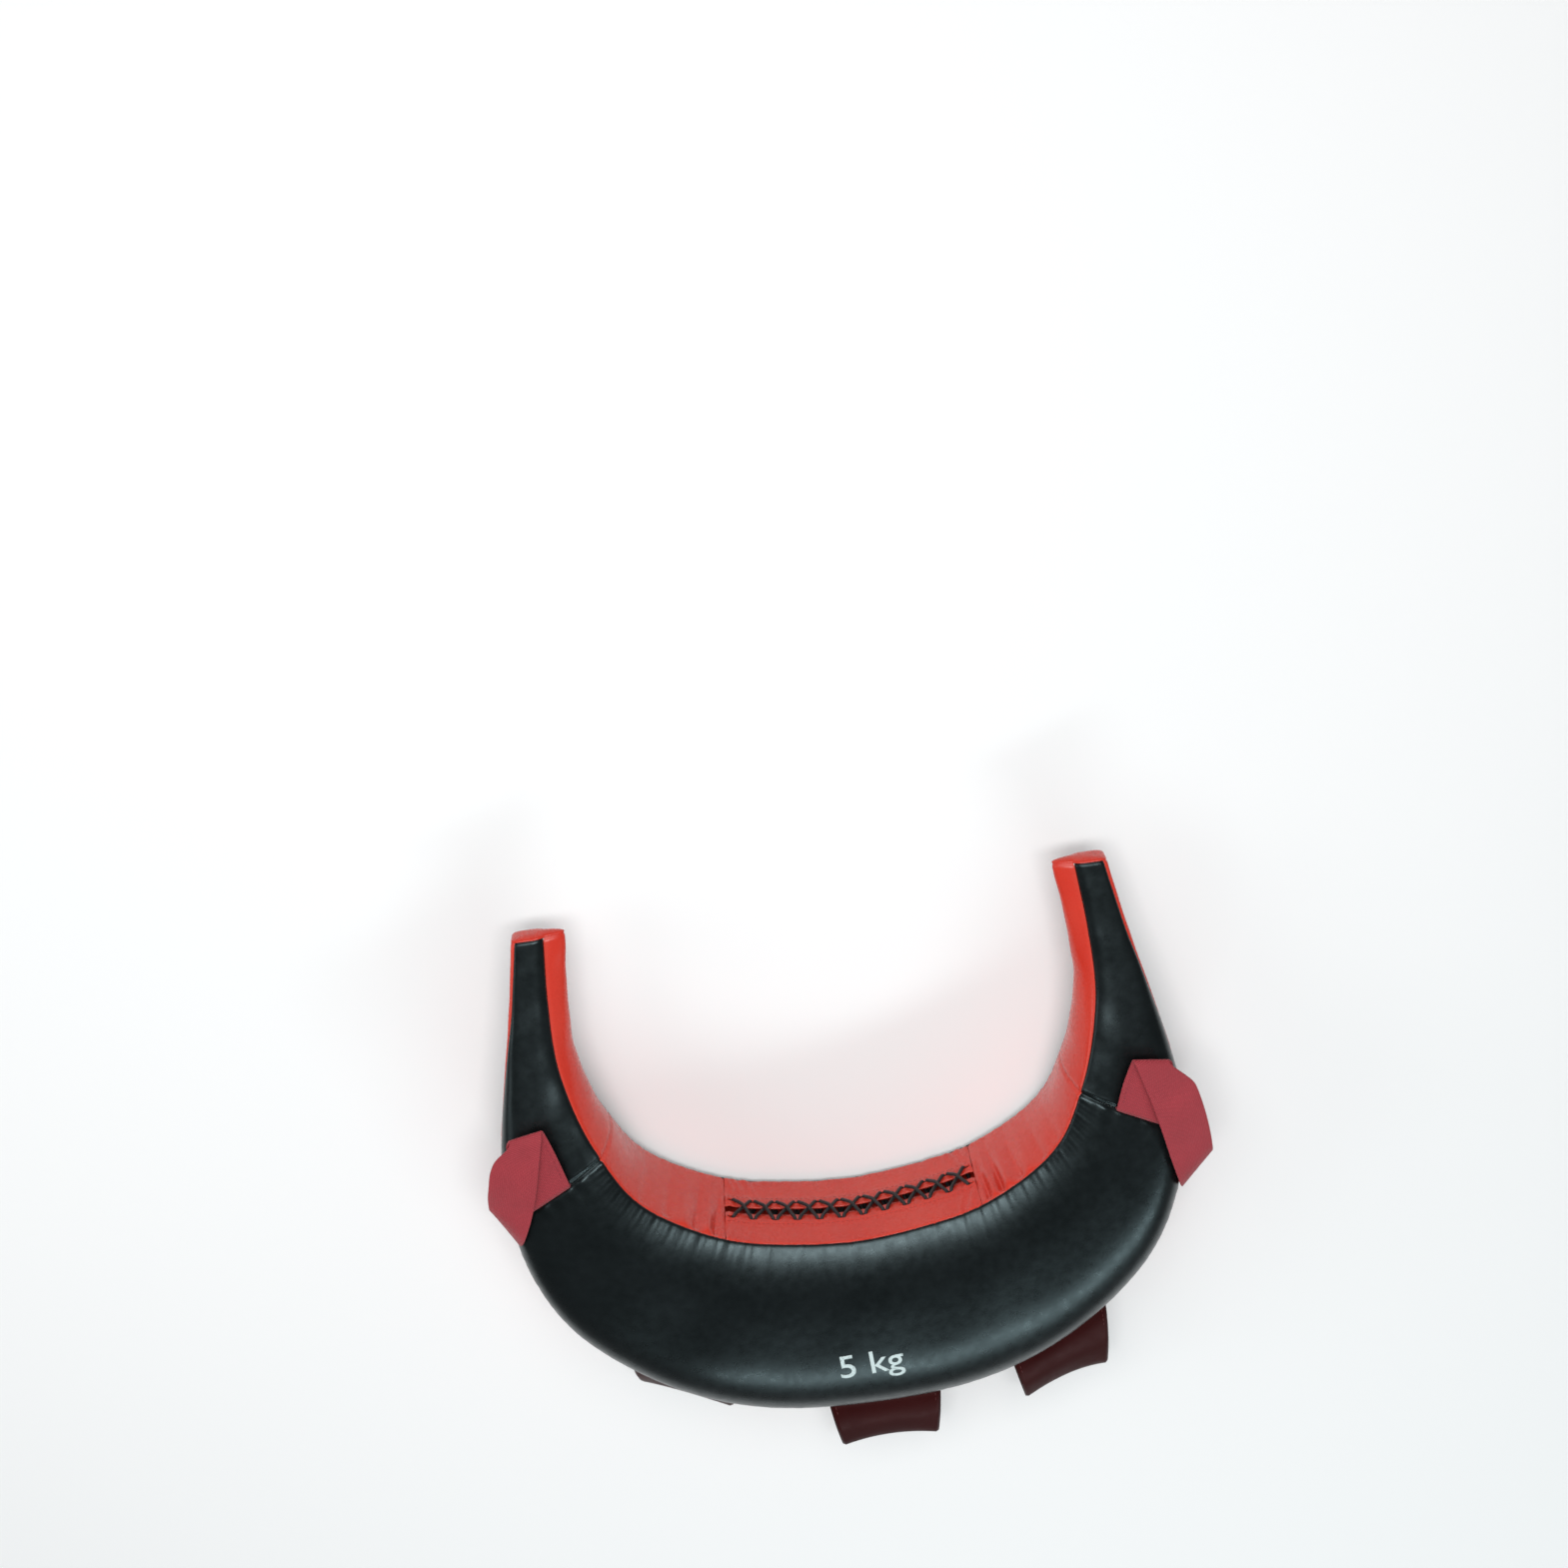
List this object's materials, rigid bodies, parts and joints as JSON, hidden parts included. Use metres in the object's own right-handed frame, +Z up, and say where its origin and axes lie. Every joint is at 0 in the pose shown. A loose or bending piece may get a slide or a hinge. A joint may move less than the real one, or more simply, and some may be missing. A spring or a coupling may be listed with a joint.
{
  "type": "bulgarian bag",
  "caption": "Crescent-shaped sand-filled training bag with a laced closure, horns to hold, webbing hand loops and folded grip bands.",
  "frame": {"origin": "on the floor, under the middle of the belly, at the centre of the flattened patch of the back panel that the bag lies on", "axes": "+X along the crescent toward the right-hand horn as the user faces the front panel, +Y from the belly toward the horn tips, +Z up out of the front panel"},
  "size_m": [0.6263, 0.5501, 0.13],
  "materials": {
    "black_synthetic_leather": "satin black synthetic leather, fine grain",
    "red_synthetic_leather": "satin red synthetic leather, fine grain",
    "crimson_webbing": "woven crimson webbing",
    "black_lacing_cord": "braided black cord",
    "pale_wadding": "felted pale wadding",
    "sand_pouch_cloth": "plain woven cloth round dry sand"
  },
  "bodies": {
    "belly": {"front_body_panel": "black_synthetic_leather", "back_body_panel": "black_synthetic_leather", "outer_gusset": "red_synthetic_leather", "left_inner_gusset": "red_synthetic_leather", "right_inner_gusset": "red_synthetic_leather", "front_wadding": "pale_wadding", "back_wadding": "pale_wadding", "left_sand_pouch": "sand_pouch_cloth", "centre_sand_pouch": "sand_pouch_cloth", "right_sand_pouch": "sand_pouch_cloth", "front_placket": "red_synthetic_leather", "back_placket": "red_synthetic_leather", "lacing_tongue": "red_synthetic_leather", "closure_lace": "black_lacing_cord", "left_loop_root_front": "crimson_webbing", "left_loop_root_back": "crimson_webbing", "right_loop_root_front": "crimson_webbing", "right_loop_root_back": "crimson_webbing"},
    "left_horn": {"left_horn_front_panel": "black_synthetic_leather", "left_horn_back_panel": "black_synthetic_leather", "left_horn_inner_strip": "red_synthetic_leather", "left_horn_outer_strip": "red_synthetic_leather", "left_neck_wadding": "pale_wadding", "left_horn_core": "pale_wadding", "left_horn_tip_cap": "red_synthetic_leather"},
    "right_horn": {"right_horn_front_panel": "black_synthetic_leather", "right_horn_back_panel": "black_synthetic_leather", "right_horn_inner_strip": "red_synthetic_leather", "right_horn_outer_strip": "red_synthetic_leather", "right_neck_wadding": "pale_wadding", "right_horn_core": "pale_wadding", "right_horn_tip_cap": "red_synthetic_leather"},
    "left_loop": {"left_hand_loop": "crimson_webbing"},
    "right_loop": {"right_hand_loop": "crimson_webbing"},
    "left_band": {"left_grip_band": "red_synthetic_leather"},
    "centre_band": {"centre_grip_band": "red_synthetic_leather"},
    "right_band": {"right_grip_band": "red_synthetic_leather"}
  },
  "joints": [
    {"name": "left_horn_bend", "type": "hinge", "parent": "belly", "child": "left_horn", "pos_m": [-0.24408, 0.17051, 0.0606], "axis": [0, 0, -1], "range_deg": [-12, 12], "stiffness_Nm_per_rad": 6, "deforming": ["left_horn_front_panel", "left_horn_back_panel", "left_horn_inner_strip", "left_horn_outer_strip", "left_neck_wadding"]},
    {"name": "right_horn_bend", "type": "hinge", "parent": "belly", "child": "right_horn", "pos_m": [0.24408, 0.17051, 0.0606], "axis": [0, 0, 1], "range_deg": [-12, 12], "stiffness_Nm_per_rad": 6, "deforming": ["right_horn_front_panel", "right_horn_back_panel", "right_horn_inner_strip", "right_horn_outer_strip", "right_neck_wadding"]},
    {"name": "left_loop_swing", "type": "hinge", "parent": "belly", "child": "left_loop", "pos_m": [-0.2489, 0.16786, 0.0606], "axis": [0, 0, -1], "range_deg": [0, 50]},
    {"name": "right_loop_swing", "type": "hinge", "parent": "belly", "child": "right_loop", "pos_m": [0.2489, 0.16786, 0.0606], "axis": [0, 0, 1], "range_deg": [0, 60]},
    {"name": "left_band_flap", "type": "hinge", "parent": "belly", "child": "left_band", "pos_m": [-0.16927, -0.05273, 0.0606], "axis": [0.8615, -0.5077, 0], "range_deg": [-72, 4], "stiffness_Nm_per_rad": 1.2},
    {"name": "centre_band_flap", "type": "hinge", "parent": "belly", "child": "centre_band", "pos_m": [0.00602, -0.09128, 0.0606], "axis": [1, 0.0063, 0], "range_deg": [-38, 38], "stiffness_Nm_per_rad": 1.2},
    {"name": "right_band_flap", "type": "hinge", "parent": "belly", "child": "right_band", "pos_m": [0.16927, -0.05273, 0.0606], "axis": [0.8615, 0.5077, 0], "range_deg": [-46, 30], "stiffness_Nm_per_rad": 1.2}
  ]
}
